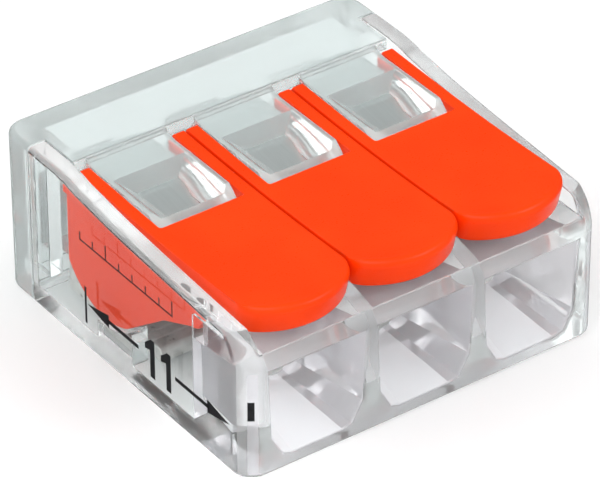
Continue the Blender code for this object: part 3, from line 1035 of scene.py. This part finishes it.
def orange_plastic():
    """Saturated moulded polyamide with a fine satin grain."""
    material, tree, shader = new_material("orange_polyamide")
    cloud = add_noise(tree, scale=0.35, detail=2.0)
    colour = mix_colours(tree, cloud.outputs["Fac"], (0.94, 0.046, 0.001), (0.99, 0.055, 0.002))
    tree.links.new(colour, shader.inputs["Base Color"])
    grain = add_noise(tree, scale=14.0, detail=2.0)
    roughness = map_range(tree, grain.outputs["Fac"], low=0.27, high=0.36)
    tree.links.new(roughness, shader.inputs["Roughness"])
    add_bump(tree, shader, grain.outputs["Fac"], distance=0.004)
    shader.inputs["Specular IOR Level"].default_value = 0.16
    return material


def tin_plate():
    """Matt tin plating on stamped copper."""
    material, tree, shader = new_material("tin_plate")
    shader.inputs["Metallic"].default_value = 0.5
    mottle = add_noise(tree, scale=2.5, detail=4.0)
    colour = mix_colours(tree, mottle.outputs["Fac"], (0.60, 0.60, 0.58), (0.78, 0.78, 0.76))
    tree.links.new(colour, shader.inputs["Base Color"])
    roughness = map_range(tree, mottle.outputs["Fac"], low=0.26, high=0.42)
    tree.links.new(roughness, shader.inputs["Roughness"])
    add_bump(tree, shader, mottle.outputs["Fac"], distance=0.006)
    return material


def spring_steel():
    """Stainless strip with rolling lines along its length."""
    material, tree, shader = new_material("spring_steel")
    shader.inputs["Metallic"].default_value = 0.35
    rolled = add_noise(tree, scale=9.0, detail=3.0, stretch=(1.0, 0.04, 0.04))
    colour = mix_colours(tree, rolled.outputs["Fac"], (0.49, 0.54, 0.535), (0.52, 0.57, 0.565))
    tree.links.new(colour, shader.inputs["Base Color"])
    roughness = map_range(tree, rolled.outputs["Fac"], low=0.30, high=0.36)
    tree.links.new(roughness, shader.inputs["Roughness"])
    add_bump(tree, shader, rolled.outputs["Fac"], distance=0.0003)
    return material


def print_ink():
    """Black pad-printed ink, a little uneven."""
    material, tree, shader = new_material("print_ink")
    cover = add_noise(tree, scale=6.0, detail=3.0)
    colour = mix_colours(tree, cover.outputs["Fac"], (0.012, 0.012, 0.014), (0.035, 0.035, 0.038))
    tree.links.new(colour, shader.inputs["Base Color"])
    roughness = map_range(tree, cover.outputs["Fac"], low=0.35, high=0.6)
    tree.links.new(roughness, shader.inputs["Roughness"])
    return material


def floor_paint():
    material, tree, shader = new_material("pale_floor")
    speck = add_noise(tree, scale=0.02, detail=3.0)
    colour = mix_colours(tree, speck.outputs["Fac"], (0.90, 0.90, 0.90), (0.94, 0.94, 0.94))
    tree.links.new(colour, shader.inputs["Base Color"])
    shader.inputs["Roughness"].default_value = 0.6
    shader.inputs["Specular IOR Level"].default_value = 0.1
    return material


def dress(obj, material):
    obj.data.materials.clear()
    obj.data.materials.append(material)


def finish_faces(obj, material, is_chosen):
    """Gives material to the faces of obj for which is_chosen(place, normal) holds."""
    obj.data.materials.append(material)
    for face in obj.data.polygons:
        if is_chosen(face.center / MM, face.normal):
            face.material_index = len(obj.data.materials) - 1


def is_front(place, normal):
    """The front with its nose, and the tops of the walls."""
    x, y, z = place
    nose = y < FRONT + NOSE and normal.y < NOSE_FACING
    wall_top = z > WALL_TOP_LOW and abs(x) > WALL_TOP_INNER and normal.z > WALL_TOP_FACING
    return nose or wall_top


def is_funnel(place, normal):
    """The insides of the wire entries."""
    x, y, z = place
    deep = FUNNEL_Y[0] < y < FUNNEL_Y[1]
    return deep and FUNNEL_Z[0] < z < FUNNEL_Z[1] and abs(x) < FUNNEL_SIDE


def is_underside(place, normal):
    return place.z < FOOT_BEVEL and normal.z < UNDERSIDE_FACING


def is_outside(place, normal):
    """The roof, the tongues with their recesses, and the outside of the rear plate."""
    x, y, z = place
    roof = z > SLOT_TOP and normal.z > ROOF_FACING
    rear = y > REAR_ROUND and normal.y > REAR_FACING
    side = abs(x) > SIDE_SKIN and abs(normal.x) > SIDE_FACING
    return roof or rear or side


# Floor, light and camera

def studio_floor():
    mesh = bmesh.new()
    corners = rectangle(-FLOOR_REACH, FLOOR_REACH, -FLOOR_REACH, FLOOR_REACH)
    mesh.faces.new([mesh.verts.new((x, y, -FLOOR_DROP)) for x, y in corners])
    floor = make("studio_floor", mesh)
    dress(floor, floor_paint())
    floor.visible_glossy = False


def soft_box(name, place, size, power):
    """A square area light that faces the object; place and size are in millimetres."""
    lamp = bpy.data.lights.new(name, "AREA")
    lamp.shape = "SQUARE"
    lamp.size = size * MM
    lamp.energy = power
    obj = bpy.data.objects.new(name, lamp)
    obj.location = Vector(place) * MM
    aim = Vector(AIM) * MM - obj.location
    obj.rotation_euler = aim.to_track_quat("-Z", "Y").to_euler()
    bpy.context.scene.collection.objects.link(obj)


def studio_light():
    world = bpy.data.worlds.new("studio")
    world.use_nodes = True
    background = world.node_tree.nodes["Background"]
    background.inputs["Color"].default_value = (1.0, 1.0, 1.0, 1.0)
    background.inputs["Strength"].default_value = WORLD_STRENGTH
    world.cycles_visibility.glossy = False
    bpy.context.scene.world = world
    for name, (place, size, power) in LIGHTS.items():
        soft_box(name, place, size, power)


def camera():
    azimuth = math.radians(CAMERA_AZIMUTH)
    elevation = math.radians(CAMERA_ELEVATION)
    roll = math.radians(CAMERA_ROLL)
    level = math.cos(elevation)
    back = Vector((math.sin(azimuth) * level, -math.cos(azimuth) * level, math.sin(elevation)))
    right = Vector((math.cos(azimuth), math.sin(azimuth), 0.0))
    up = back.cross(right)
    turned_right = right * math.cos(roll) + up * math.sin(roll)
    turned_up = up * math.cos(roll) - right * math.sin(roll)
    lens = bpy.data.cameras.new("studio_camera")
    lens.lens = CAMERA_LENS
    lens.shift_x, lens.shift_y = CAMERA_SHIFT
    lens.clip_start = CAMERA_NEAR * MM
    eye = bpy.data.objects.new("studio_camera", lens)
    axes = Matrix((turned_right, turned_up, back)).transposed()
    place = (Vector(AIM) + back * CAMERA_DISTANCE) * MM
    eye.matrix_world = Matrix.Translation(place) @ axes.to_4x4()
    bpy.context.scene.collection.objects.link(eye)
    bpy.context.scene.camera = eye


def picture():
    """Plain colours, and light paths long enough for a stack of clear walls."""
    bpy.context.scene.view_settings.view_transform = "Standard"
    cycles = bpy.context.scene.cycles
    cycles.max_bounces = CLEAR_BOUNCES
    cycles.transmission_bounces = CLEAR_BOUNCES
    cycles.glossy_bounces = GLOSSY_BOUNCES


def main():
    camera()
    picture()
    housing = clear_housing()
    cover = clear_cover()
    dress(housing, clear_plastic("clear_wall", *CLEAR_WALL))
    finish_faces(housing, clear_plastic("satin_front", *SATIN_FRONT), is_front)
    finish_faces(housing, clear_plastic("satin_funnel", *SATIN_FUNNEL), is_funnel)
    finish_faces(housing, clear_plastic("hazy_foot", *HAZY_FOOT), is_underside)
    dress(cover, clear_plastic("clear_cover", *CLEAR_COVER))
    finish_faces(cover, clear_plastic("satin_cover", *SATIN_COVER), is_outside)
    housing.visible_shadow = False
    cover.visible_shadow = False
    orange = orange_plastic()
    steel = spring_steel()
    for number, pole in enumerate(POLES, start=1):
        dress(lever(number, pole), orange)
        dress(spring(number, pole), steel)
    dress(busbar(), tin_plate())
    dress(side_print(), print_ink())
    studio_floor()
    studio_light()


main()
